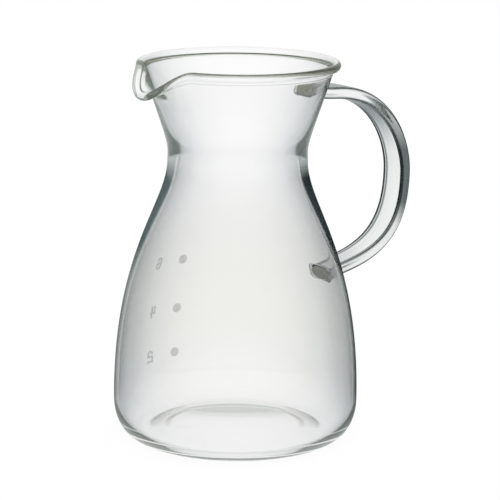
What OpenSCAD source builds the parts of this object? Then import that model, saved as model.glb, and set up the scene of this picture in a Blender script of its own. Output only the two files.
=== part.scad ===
// Coffee server carafe: a blown glass vessel with a pulled spout, a fused bow handle and fired level marks.
// The origin is the centre of the foot ring on the table, +Z is up, +X points to the handle, -X to the spout.

/* [Foot] */
// Outer diameter of the flat ring the vessel stands on
foot_d = 90.6; // [84:0.2:96]
// Width of that flat ring
foot_land_w = 2.4; // [1.6:0.1:4]
// How far the bottom domes up inside the ring
foot_rise = 2.6; // [1.5:0.1:4]

/* [Body] */
// Wall thickness at the belly, where the blown glass is thinnest
wall_t = 1.9; // [1.4:0.1:2.6]
// Thickness where the wall turns into the foot
heel_t = 3.6; // [2.4:0.1:4.4]
// Thickness of the bottom at its centre
bottom_t = 3; // [2:0.1:4]
// Largest outer diameter, low on the belly
belly_d = 116.2; // [110:0.2:124]
// Height of the largest diameter
belly_h = 18.4; // [16:0.2:24]

/* [Neck] */
// Outer diameter of the waist
waist_d = 66; // [60:0.1:72]
// Wall thickness at the waist, where the glass was blown out least
waist_t = 4.4; // [2.4:0.1:5.4]
// Height of the waist
waist_h = 132.6; // [126:0.2:138]
// Outer diameter of the neck just under the lip
neck_top_d = 89.6; // [86:0.2:92]
// Wall thickness just under the lip
neck_top_t = 1.8; // [1.4:0.1:2.2]
// Angle from upright at which the neck meets the lip, in degrees
neck_flare = 18.6; // [14:0.2:24]
// Depth of the neck's end below the top of the lip
neck_top_drop = 3.6; // [3:0.1:5]

/* [Lip] */
// Height from the table to the top of the lip
overall_h = 180; // [172:0.5:190]
// Outer diameter of the rolled lip
lip_d = 95.4; // [93:0.2:98]
// Thickness of the rolled lip
lip_bead_d = 3.8; // [3:0.1:4.6]

/* [Spout] */
// How far the spout's tip reaches past the lip
spout_reach = 5.8; // [4:0.1:9]
// How far the spout's tip is pulled down below the lip
spout_dip = 9; // [6:0.1:12]
// Half of the angle of lip that the spout takes up, in degrees
spout_half_angle = 30; // [24:1:38]
// Depth below the top of the lip at which the spout leaves the neck
spout_root_drop = 18; // [16:0.5:22]

/* [Handle] */
// Width of the flattened rod
handle_w = 16; // [12:0.2:18]
// Thickness of the flattened rod
handle_t = 6.2; // [5:0.1:7.5]
// Radius of the rod's long corners
handle_corner_r = 2.2; // [1:0.1:2.4]
// Distance from the vessel's axis to the middle of the rod at its farthest
handle_reach = 94.4; // [88:0.2:104]
// Height of that farthest point
handle_apex_h = 119.4; // [112:0.2:124]
// Depth of the upper root below the top of the lip
upper_root_drop = 17.6; // [16:0.2:20]
// How far the rod dips between its upper root and the bow
upper_root_dip = 2.3; // [0:0.1:4]
// Distance from the root over which it dips
upper_dip_len = 14; // [8:0.5:20]
// Angle at which the bow rises out of that dip, in degrees
upper_bow_angle = 8; // [0:1:12]
// Height of the lower root above the table
lower_root_h = 74; // [68:0.2:80]
// Angle at which the rod rises from the lower root, in degrees
lower_root_angle = 11; // [4:1:18]

/* [Welds] */
// Length of a weld along the rod, measured from the wall
weld_len = 3.4; // [2.4:0.1:5]
// How far the upper weld stands out round the rod where it meets the wall
upper_weld_flare = 0.8; // [0.4:0.1:1.8]
// How far the lower weld stands out round the rod where it meets the wall
lower_weld_flare = 1.6; // [0.6:0.1:2.4]

/* [Level marks] */
// Diameter of a level dot
dot_d = 4.8; // [3:0.1:7]
// Height of the upper dot
dot_upper_h = 77; // [72:0.5:84]
// Height of the middle dot
dot_middle_h = 50.6; // [44:0.2:58]
// Height of the lower dot
dot_lower_h = 27; // [22:0.5:34]
// Angle from the handle round to the dots, in degrees
dot_turn = 88.6; // [80:0.2:120]
// Distance along the wall from a dot to its numeral
numeral_gap = 16; // [10:0.5:24]
// Height of a numeral
numeral_h = 6.4; // [4:0.1:9]
// Width of a numeral's stroke
numeral_stroke = 1; // [0.6:0.1:1.2]
// Thickness of the fired enamel
enamel_t = 0.2; // [0.12:0.02:0.4]

/* [Clearances] */
// Gap between a weld or a mark and the glass that it sits on
seat_gap = 0.05; // [0.03:0.01:0.1]
// Gap between the rod and a weld
weld_gap = 0.05; // [0.03:0.01:0.1]

/* [Hidden] */

// Facets of round shapes
$fn = 96;
// Steps along each curved stretch of the wall
wall_steps = 14;
// Steps along the neck above the seam, round the lip, round the vessel, and across the bottom
neck_steps = 12;
lip_steps = 12;
ring_steps = 96;
bottom_steps = 8;
// Steps along half of the handle, round one corner of the rod, along a weld, and up a skin of enamel
bow_steps = 26;
corner_steps = 5;
weld_steps = 5;
enamel_steps = 6;

glass_colour = [0.86, 0.9, 0.88, 0.35];
weld_colour = [0.72, 0.76, 0.66, 0.5];
enamel_colour = [0.86, 0.86, 0.84];

// Shares of a stretch over which each end keeps its own direction
heel_foot_share = 0.63;
heel_belly_share = 0.56;
flank_belly_share = 0.623;
flank_waist_share = 0.183;
neck_waist_share = 0.22;
neck_lip_share = 0.96;
upper_bow_share = 0.77;
upper_apex_share = 0.39;
lower_bow_share = 0.56;
lower_apex_share = 0.75;
// How sharply the spout turns outward and downward along its length
spout_out_power = 1.6;
spout_down_power = 1.5;
// How sharply a weld narrows away from the wall
weld_flare_power = 1.5;
// Width of a numeral as a share of its height
numeral_width_share = 0.6;

foot_r = foot_d / 2;
belly_r = belly_d / 2;
waist_r = waist_d / 2;
neck_top_r = neck_top_d / 2;
neck_top_h = overall_h - neck_top_drop;
lip_r = lip_bead_d / 2;
lip_mid_r = lip_d / 2 - lip_r;
lip_mid_h = overall_h - lip_r;
spout_root_h = overall_h - spout_root_drop;
upper_root_h = overall_h - upper_root_drop;
// The neck above this height carries the spout, and is set a hair inside the wall below it
seam_h = (waist_h + spout_root_h) / 2;
seam_inset = wall_t / 60;
seam_sink = wall_t / 4;

// Cubic curve through p[0] and p[3], led by p[1] and p[2], and its direction
function bend(p, t) = pow(1 - t, 3) * p[0] + 3 * pow(1 - t, 2) * t * p[1]
    + 3 * (1 - t) * t * t * p[2] + pow(t, 3) * p[3];
function heading(p, t) = unit(pow(1 - t, 2) * (p[1] - p[0]) + 2 * (1 - t) * t * (p[2] - p[1])
    + t * t * (p[3] - p[2]));
function unit(v) = v / norm(v);
// The side to the right of a direction, which is outward where the wall is followed upward
function right_of(v) = [v[1], -v[0]];

heel_run = belly_r - foot_r;
flank_rise = waist_h - belly_h;
neck_rise = neck_top_h - waist_h;
neck_end_dir = [sin(neck_flare), cos(neck_flare)];

heel = [[foot_r, 0], [foot_r + heel_foot_share * heel_run, 0],
    [belly_r, belly_h - heel_belly_share * belly_h], [belly_r, belly_h]];
flank = [[belly_r, belly_h], [belly_r, belly_h + flank_belly_share * flank_rise],
    [waist_r, waist_h - flank_waist_share * flank_rise], [waist_r, waist_h]];
neck = [[waist_r, waist_h], [waist_r, waist_h + neck_waist_share * neck_rise],
    [neck_top_r, neck_top_h] - neck_lip_share * neck_rise * neck_end_dir, [neck_top_r, neck_top_h]];

// Share of the way along a stretch at which it reaches height h
function share_at(p, h, low = 0, high = 1, tries = 24) = tries == 0 ? (low + high) / 2
    : bend(p, (low + high) / 2)[1] < h
    ? share_at(p, h, (low + high) / 2, high, tries - 1) : share_at(p, h, low, (low + high) / 2, tries - 1);
function stretch_at(h) = h < belly_h ? heel : h < waist_h ? flank : neck;
// The outer wall at height h, moved outward by off
function wall_at(h, off = 0) = let(p = stretch_at(h), t = share_at(p, h))
    bend(p, t) + off * right_of(heading(p, t));
// Points along a stretch from share t0 to t1, moved outward by off
function along(p, t0, t1, steps, off = 0) = [for (i = [0:steps]) let(t = t0 + (t1 - t0) * i / steps)
    bend(p, t) + off * right_of(heading(p, t))];
// Thickness at share t of a stretch over which it runs softly from w0 to w1
function eased(w0, w1, t) = w0 + (w1 - w0) * t * t * (3 - 2 * t);
// Points of the inner face along a stretch up to share t1, under glass that is w0 and w1 thick at its ends
function inner_along(p, t1, steps, w0, w1) = [for (i = [0:steps]) let(t = t1 * i / steps)
    bend(p, t) - eased(w0, w1, t) * right_of(heading(p, t))];
function backward(list) = [for (i = [len(list) - 1:-1:0]) list[i]];
function tail(list) = [for (i = [1:len(list) - 1]) list[i]];

seam_share = share_at(neck, seam_h);

// The outside of the wall from the foot to the seam or to the end of the neck, moved outward by off
function outside(top_share, off = 0) = concat(along(heel, 0, 1, wall_steps, off),
    tail(along(flank, 0, 1, wall_steps, off)), tail(along(neck, 0, top_share, neck_steps, off)));

// Half section of the vessel below the seam
land_in_r = foot_r - foot_land_w;
function dome_h(r) = foot_rise * (1 - pow(r / land_in_r, 2));
floor_mid_h = foot_rise + bottom_t;
function inner_bottom_h(r) = floor_mid_h - (floor_mid_h - heel_t) * pow(r / foot_r, 3);
under = [for (i = [0:bottom_steps]) let(r = land_in_r * i / bottom_steps) [r, dome_h(r)]];
floor_top = [for (i = [bottom_steps - 1:-1:0]) let(r = foot_r * i / bottom_steps) [r, inner_bottom_h(r)]];
inside_up = concat(inner_along(heel, 1, wall_steps, heel_t, wall_t),
    tail(inner_along(flank, 1, wall_steps, wall_t, waist_t)),
    tail(inner_along(neck, seam_share, neck_steps, waist_t, neck_top_t)));
lower_section = concat(under, outside(seam_share), backward(inside_up), floor_top);

// Share of the spout's full pull at angle a from its middle
function pull_share(a) = abs(a) < spout_half_angle ? (1 + cos(180 * a / spout_half_angle)) / 2 : 0;
function spout_rise_share(h) = min(max((h - spout_root_h) / (neck_top_h - spout_root_h), 0), 1);
function pulled(p, k) = let(s = spout_rise_share(p[1]))
    p + k * [spout_reach * pow(s, spout_out_power), -spout_dip * pow(s, spout_down_power)];

// Half section of the neck and lip where the spout has share k of its full pull, as one closed loop
function neck_out(k) = [for (p = along(neck, seam_share, 1, neck_steps, -seam_inset)) pulled(p, k)];
function step_dir(list, i, last_dir) = i == len(list) - 1 ? last_dir
    : unit(list[i + 1] - list[max(i - 1, 0)]);
function neck_in(out, last_dir) = [for (i = [0:neck_steps])
    let(t = seam_share + (1 - seam_share) * i / neck_steps, w = eased(waist_t, neck_top_t, t))
        out[i] - (w - 2 * seam_inset) * right_of(step_dir(out, i, last_dir))];
// The lip is rolled from the wall's outer face round to its inner face, in degrees from outward
lip_arc_start = -90;
lip_arc_end = 180;
// The lip's middle, from the neck's end, along the wall and out of it
lip_shift = [lip_mid_r, lip_mid_h] - [neck_top_r, neck_top_h];
lip_along = lip_shift * neck_end_dir;
lip_out = lip_shift * right_of(neck_end_dir);
function lip_arc(end, dir) = let(mid = end + lip_along * dir + lip_out * right_of(dir))
    [for (i = [0:lip_steps]) let(a = lip_arc_start + (lip_arc_end - lip_arc_start) * i / lip_steps)
        mid + lip_r * (cos(a) * right_of(dir) + sin(a) * dir)];
// Direction of the pulled wall at its end, where the lip is rolled on
function end_dir(k) = unit((neck_top_h - spout_root_h) / neck_end_dir[1] * neck_end_dir
    + k * [spout_reach * spout_out_power, -spout_dip * spout_down_power]);
function neck_section(k) = let(out = neck_out(k), inner = neck_in(out, end_dir(k)))
    concat([[out[0][0], seam_h - seam_sink]], out, lip_arc(out[neck_steps], end_dir(k)), backward(inner),
    [[inner[0][0], seam_h - seam_sink]]);

// Faces of a skin through rings of n points each, the last ring followed by the first where it is closed
function skin_faces(rings, n, closed) = [for (i = [0:rings - (closed ? 1 : 2)], j = [0:n - 1])
    let(a = i * n + j, b = i * n + (j + 1) % n, next = ((i + 1) % rings) * n)
        each [[a, b, next + (j + 1) % n], [a, next + (j + 1) % n, next + j]]];
function turned(p, a) = [p[0] * cos(a), p[0] * sin(a), p[1]];

module neck_ring() {
    rings = [for (i = [0:ring_steps - 1]) let(a = 360 * i / ring_steps)
        [for (p = neck_section(pull_share(a - 180))) turned(p, a)]];
    polyhedron([for (r = rings) each r], skin_faces(ring_steps, len(rings[0]), true), convexity = 8);
}

module vessel() {
    color(glass_colour) union() {
        rotate_extrude() polygon(lower_section);
        neck_ring();
    }
}

// Everything inside the outer wall, grown by off
module wall_core(off) {
    rotate_extrude() polygon(concat([[0, 0]], outside(1, off), [[0, neck_top_h]]));
}

// The handle's middle line, as distance from the axis and height
upper_root = wall_at(upper_root_h, -wall_t);
lower_root = wall_at(lower_root_h, -wall_t);
apex = [handle_reach, handle_apex_h];
upper_run = handle_reach - upper_root[0];
lower_run = handle_reach - lower_root[0];
upper_bow_dir = [cos(upper_bow_angle), sin(upper_bow_angle)];
upper_bow_root = upper_root - [0, upper_root_dip];
lower_out = [cos(lower_root_angle), sin(lower_root_angle)];
upper_bow = [upper_bow_root, upper_bow_root + upper_bow_share * upper_run * upper_bow_dir,
    apex + [0, upper_apex_share * (upper_bow_root[1] - apex[1])], apex];
lower_bow = [apex, apex - [0, lower_apex_share * (apex[1] - lower_root[1])],
    lower_root + lower_bow_share * lower_run * lower_out, lower_root];

// A point of the upper bow, lifted towards the root where the rod's end was drawn up to the wall
function drawn_up(p) = p + [0, upper_root_dip * pow(max(1 - (p[0] - upper_root[0]) / upper_dip_len, 0), 2)];
rod_line = concat([for (i = [0:bow_steps]) drawn_up(bend(upper_bow, i / bow_steps))],
    [for (i = [1:bow_steps]) bend(lower_bow, i / bow_steps)]);
upper_out = unit(rod_line[1] - rod_line[0]);

// Section of the rod, w wide and t thick, with corners of radius r
function rod_section(w, t, r) = [for (q = [0:3], i = [0:corner_steps])
    let(a = 90 * (q + i / corner_steps), sx = q == 0 || q == 3 ? 1 : -1, sy = q < 2 ? 1 : -1)
        [sx * (w / 2 - r) + r * cos(a), sy * (t / 2 - r) + r * sin(a)]];
// That section set across the middle line at point c, heading d
function rod_ring(c, d, w, t, r) = let(n = right_of(d))
    [for (p = rod_section(w, t, r)) [c[0] + p[1] * n[0], p[0], c[1] + p[1] * n[1]]];
// A solid swept through rings, with flat ends
module swept(rings) {
    n = len(rings[0]);
    count = len(rings);
    ends = [[for (j = [n - 1:-1:0]) j], [for (j = [0:n - 1]) (count - 1) * n + j]];
    polyhedron([for (r = rings) each r], concat(skin_faces(count, n, false), ends), convexity = 6);
}

module rod() {
    last = len(rod_line) - 1;
    swept([for (i = [0:last]) let(d = unit(rod_line[min(i + 1, last)] - rod_line[max(i - 1, 0)]))
        rod_ring(rod_line[i], d, handle_w, handle_t, handle_corner_r)]);
}

module handle() {
    color(glass_colour) difference() {
        rod();
        wall_core(seat_gap + weld_len + weld_gap);
    }
}

// A weld that starts inside the wall at root, heads along dir and narrows to the rod
module weld(root, dir, flare) {
    reach = wall_t + weld_len + handle_t;
    function grow(x) = flare * pow(max(1 - x / (wall_t + weld_len), 0), weld_flare_power);
    color(weld_colour) difference() {
        intersection() {
            swept([for (i = [0:weld_steps]) let(x = reach * i / weld_steps, g = grow(x))
                rod_ring(root + x * dir, dir, handle_w + 2 * g, handle_t + 2 * g, handle_corner_r + g / 2)]);
            wall_core(seat_gap + weld_len);
        }
        wall_core(seat_gap);
    }
}

module upper_weld() { weld(upper_root, upper_out, upper_weld_flare); }
module lower_weld() { weld(lower_root, lower_out, lower_weld_flare); }

// A skin of enamel that lies on the outer wall from height h0 to h1, on the side that +X faces
module enamel_skin(h0, h1) {
    heights = [for (i = [0:enamel_steps]) h0 + (h1 - h0) * i / enamel_steps];
    inner = [for (h = heights) wall_at(h, seat_gap)];
    outer = [for (h = heights) wall_at(h, seat_gap + enamel_t)];
    rotate_extrude() polygon(concat(inner, backward(outer)));
}

module dot(h) {
    color(enamel_colour) rotate([0, 0, dot_turn]) intersection() {
        enamel_skin(h - dot_d, h + dot_d);
        translate([0, 0, h]) rotate([0, 90, 0]) cylinder(h = belly_d, d = dot_d);
    }
}

module dot_upper() { dot(dot_upper_h); }
module dot_middle() { dot(dot_middle_h); }
module dot_lower() { dot(dot_lower_h); }

// Plain numerals, centred on the origin
numeral_w = numeral_h * numeral_width_share;
module bar(x0, y0, x1, y1) { translate([x0, y0]) square([x1 - x0, y1 - y0]); }
module loop_ring(r) {
    difference() { circle(r); circle(r - numeral_stroke); }
}
module numeral_six() {
    r = numeral_w / 2;
    translate([0, r - numeral_h / 2]) loop_ring(r);
    bar(-r, r - numeral_h / 2, -r + numeral_stroke, numeral_h / 2 - r);
    translate([0, numeral_h / 2 - r]) intersection() {
        loop_ring(r);
        bar(-r, 0, r, r);
    }
}
module numeral_four() {
    r = numeral_w / 2;
    bar(r - 2 * numeral_stroke, -numeral_h / 2, r - numeral_stroke, numeral_h / 2);
    bar(-r, -numeral_stroke, r, 0);
    bar(-r, -numeral_stroke, -r + numeral_stroke, numeral_h / 2);
}
module numeral_two() {
    r = numeral_w / 2;
    translate([0, numeral_h / 2 - r]) intersection() {
        loop_ring(r);
        bar(-r, 0, r, r);
    }
    bar(r - numeral_stroke, 0, r, numeral_h / 2 - r);
    bar(-r, -numeral_stroke / 2, r, numeral_stroke / 2);
    bar(-r, -numeral_h / 2, -r + numeral_stroke, 0);
    bar(-r, -numeral_h / 2, r, -numeral_h / 2 + numeral_stroke);
}
// A numeral laid on the wall at height h, upright and right-reading from outside
module on_wall(h) {
    turn = dot_turn + numeral_gap / wall_at(h)[0] * 180 / PI;
    rotate([0, 0, turn]) intersection() {
        enamel_skin(h - numeral_h, h + numeral_h);
        translate([0, 0, h]) rotate([90, 0, 90]) linear_extrude(height = belly_d) children();
    }
}
module cup_numerals() {
    color(enamel_colour) {
        on_wall(dot_upper_h) numeral_six();
        on_wall(dot_middle_h) numeral_four();
        on_wall(dot_lower_h) numeral_two();
    }
}

vessel();
handle();
upper_weld();
lower_weld();
dot_upper();
dot_middle();
dot_lower();
cup_numerals();
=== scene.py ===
"""A blown glass coffee server with a pulled spout, a fused bow handle and fired level marks.

It stands in a pale studio. Sizes are in millimetres until a mesh is made. The origin is the centre of the
foot ring on the floor, +Z is up, +X points to the handle and -X to the spout.
"""

from __future__ import annotations

import bisect
import logging
import math
from dataclasses import dataclass
from enum import Enum
from typing import Any, Sequence

import bpy
from mathutils import Matrix, Vector, noise

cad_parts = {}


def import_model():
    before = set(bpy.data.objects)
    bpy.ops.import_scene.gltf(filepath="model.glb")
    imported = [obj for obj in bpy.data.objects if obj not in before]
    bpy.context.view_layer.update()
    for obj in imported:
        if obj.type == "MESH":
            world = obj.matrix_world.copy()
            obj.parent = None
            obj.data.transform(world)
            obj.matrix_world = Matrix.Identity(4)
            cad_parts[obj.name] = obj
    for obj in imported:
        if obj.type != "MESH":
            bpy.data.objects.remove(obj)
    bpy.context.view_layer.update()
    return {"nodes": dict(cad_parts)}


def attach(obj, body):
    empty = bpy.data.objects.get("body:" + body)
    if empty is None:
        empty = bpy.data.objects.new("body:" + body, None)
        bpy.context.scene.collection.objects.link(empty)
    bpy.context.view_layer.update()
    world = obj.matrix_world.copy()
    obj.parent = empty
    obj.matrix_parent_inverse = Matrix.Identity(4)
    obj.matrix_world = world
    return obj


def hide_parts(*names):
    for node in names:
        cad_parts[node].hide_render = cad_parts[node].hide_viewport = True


LOG = logging.getLogger("carafe")
MM = 0.001

Point = tuple[float, float]
Place = tuple[float, float, float]
Face = Sequence[int]
Stops = tuple[tuple[float, str], ...]
Tree = bpy.types.NodeTree
# What feeds a node: a socket, or a node whose first output in use is meant
Source = bpy.types.NodeSocket | bpy.types.Node

WHITE = (1, 1, 1, 1)
# A mix node's settings for colours, and the numbers of the sockets that it then has in use
BLEND = {"data_type": "RGBA"}
TINT = {"data_type": "RGBA", "blend_type": "MULTIPLY"}
SHARE, AT_0, AT_1 = 0, 6, 7
# The mesh attribute that says how much a point of the rod lies in a rounded corner, from 0 to 1, which is
# where the rod's painted corner shade goes
CORNER_SHARE = "strap_corner"
# How often a stretch of the wall, and a path through it, is halved to find a place on it
STRETCH_HALVINGS = 40
PATH_HALVINGS = 16
# How far to either side of a point its direction is measured, as a share of the stretch
NEAR_SHARE = 1e-4
# How often light may be turned in the glass, mirrored and let straight through
GLASS_BOUNCES, MIRROR_BOUNCES, CLEAR_BOUNCES = 32, 12, 24


def linear(code: str) -> tuple[float, float, float, float]:
    """Turn an sRGB hex code into a linear colour.

    Args:
        code: Six hex digits after a hash, such as "#C8D0C4".

    Returns:
        Linear red, green, blue and an alpha of 1.
    """
    parts = [int(code[i : i + 2], 16) / 255 for i in (1, 3, 5)]
    red, green, blue = (p / 12.92 if p <= 0.04045 else ((p + 0.055) / 1.055) ** 2.4 for p in parts)
    return (red, green, blue, 1.0)


def set_stops(ramp: bpy.types.ColorRamp, stops: Stops) -> None:
    """Give a colour ramp its stops.

    Args:
        ramp: The ramp, which has two stops at first.
        stops: Pairs of a place from 0 to 1 and an sRGB hex code, in order.
    """
    while len(ramp.elements) < len(stops):
        ramp.elements.new(1.0)
    for element, (place, code) in zip(ramp.elements, stops):
        element.position = place
        element.color = linear(code)


def add_node(
    tree: Tree,
    kind: str,
    values: dict[str | int, Any] | None = None,
    links: dict[str | int, Source] | None = None,
    stops: Stops = (),
    **settings: Any,
) -> bpy.types.Node:
    """Add a node to a tree, with its settings, socket values, links and colour stops.

    Args:
        tree: The node tree that takes the node.
        kind: Blender's name for the kind of node.
        values: A value for each named input socket.
        links: What feeds each named input socket: a socket, or a node's first output that is in use.
        stops: The stops of a node that is a colour ramp.
        **settings: Attributes of the node itself.

    Returns:
        The new node.
    """
    node = tree.nodes.new(kind)
    for name, value in settings.items():
        setattr(node, name, value)
    for name, value in (values or {}).items():
        node.inputs[name].default_value = value
    for name, source in (links or {}).items():
        if isinstance(source, bpy.types.Node):
            source = next(output for output in source.outputs if output.enabled)
        tree.links.new(source, node.inputs[name])
    if stops:
        set_stops(node.color_ramp, stops)
    return node


def blank_material(name: str) -> tuple[bpy.types.Material, Tree]:
    """Make a material whose node tree is empty.

    Args:
        name: The material's name.

    Returns:
        The material and its tree.
    """
    material = bpy.data.materials.new(name)
    material.use_nodes = True
    material.node_tree.nodes.clear()
    return material, material.node_tree


def new_piece(
    name: str,
    vertices: Sequence[Place],
    faces: Sequence[Face],
    material: bpy.types.Material,
    flat_faces: int = 0,
) -> bpy.types.Object:
    """Make a smooth-shaded mesh object from places in millimetres.

    Args:
        name: The piece's name.
        vertices: Its corners, in millimetres.
        faces: Its faces, as corner numbers.
        material: The material on all of its faces.
        flat_faces: How many faces at the end of the list are flat ends.

    Returns:
        The new object, linked to the scene.
    """
    mesh = bpy.data.meshes.new(name)
    mesh.from_pydata([[c * MM for c in v] for v in vertices], [], [list(f) for f in faces])
    smooth_from = len(faces) - flat_faces
    mesh.polygons.foreach_set("use_smooth", [i < smooth_from for i in range(len(faces))])
    mesh.materials.append(material)
    mesh.update()
    piece = bpy.data.objects.new(name, mesh)
    bpy.context.scene.collection.objects.link(piece)
    return piece


def swept_piece(
    name: str, rings: Sequence[Sequence[Place]], material: bpy.types.Material
) -> bpy.types.Object:
    """Make a piece from rings of points, with an end face at each end.

    Args:
        name: The piece's name.
        rings: Rings that all have the same number of points.
        material: The material on all of its faces.

    Returns:
        The new object.
    """
    n = len(rings[0])
    vertices = [p for ring in rings for p in ring]
    faces: list[Face] = []
    for i in range(len(rings) - 1):
        for j in range(n):
            a, b = i * n + j, i * n + (j + 1) % n
            faces.append((a + n, b + n, b, a))
    last = (len(rings) - 1) * n
    faces.append(list(range(n)))
    faces.append(list(range(last + n - 1, last - 1, -1)))
    return new_piece(name, vertices, faces, material, flat_faces=2)


def ease(share: float) -> float:
    """Run from 0 to 1 with a soft start and a soft end."""
    share = min(max(share, 0.0), 1.0)
    return share * share * (3 - 2 * share)


@dataclass(frozen=True)
class Stretch:
    """A curved stretch of the half section, led at each end by a point that sets its direction.

    A point is a distance from the axis and a height.
    """

    start: Point
    start_lead: Point
    end_lead: Point
    end: Point

    def point(self, t: float) -> Point:
        """Find a point of the stretch.

        Args:
            t: The share of the stretch at which it lies.

        Returns:
            The point.
        """
        s = 1 - t
        shares = (s**3, 3 * s * s * t, 3 * s * t * t, t**3)
        corners = (self.start, self.start_lead, self.end_lead, self.end)
        return tuple(sum(k * c[axis] for k, c in zip(shares, corners)) for axis in (0, 1))

    def share_at(self, height: float) -> float:
        """Find where a rising stretch reaches a height.

        Args:
            height: The height to reach.

        Returns:
            The share of the stretch.
        """
        low, high = 0.0, 1.0
        for _ in range(STRETCH_HALVINGS):
            middle = (low + high) / 2
            low, high = (middle, high) if self.point(middle)[1] < height else (low, middle)
        return (low + high) / 2

    def points(self, steps: int) -> list[Point]:
        """List evenly spaced points of the stretch, both ends included."""
        return [self.point(i / steps) for i in range(steps + 1)]


def headings(line: Sequence[Point], last: Point | None = None) -> list[Point]:
    """Find the direction of a line at each of its points.

    Args:
        line: Points of a smooth line.
        last: The direction at the last point, where it is known.

    Returns:
        A unit direction for each point.
    """
    found = []
    for i in range(len(line)):
        before, after = line[max(i - 1, 0)], line[min(i + 1, len(line) - 1)]
        run, rise = after[0] - before[0], after[1] - before[1]
        size = math.hypot(run, rise)
        found.append((run / size, rise / size))
    if last is not None:
        found[-1] = last
    return found


def moved_right(line: Sequence[Point], ways: Sequence[Point], off: float) -> list[Point]:
    """Move each point of a line to the right of its direction by a distance."""
    return [(p[0] + off * w[1], p[1] - off * w[0]) for p, w in zip(line, ways)]


def radius_at(wall: Sequence[Point], height: float) -> float:
    """Find the radius of a wall at a height.

    Args:
        wall: The wall's points, from the foot up.
        height: The height.

    Returns:
        The distance of the wall from the axis.
    """
    i = min(max(bisect.bisect([p[1] for p in wall], height), 1), len(wall) - 1)
    (r0, z0), (r1, z1) = wall[i - 1], wall[i]
    return r0 + (r1 - r0) * (height - z0) / (z1 - z0)


def along(path: Sequence[Place], index: float) -> Place:
    """Find a place on a path.

    Args:
        path: The path's places.
        index: Where the place lies, as a fractional index.

    Returns:
        The place.
    """
    i = min(int(index), len(path) - 2)
    share = index - i
    return tuple(a + (b - a) * share for a, b in zip(path[i], path[i + 1]))


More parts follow.
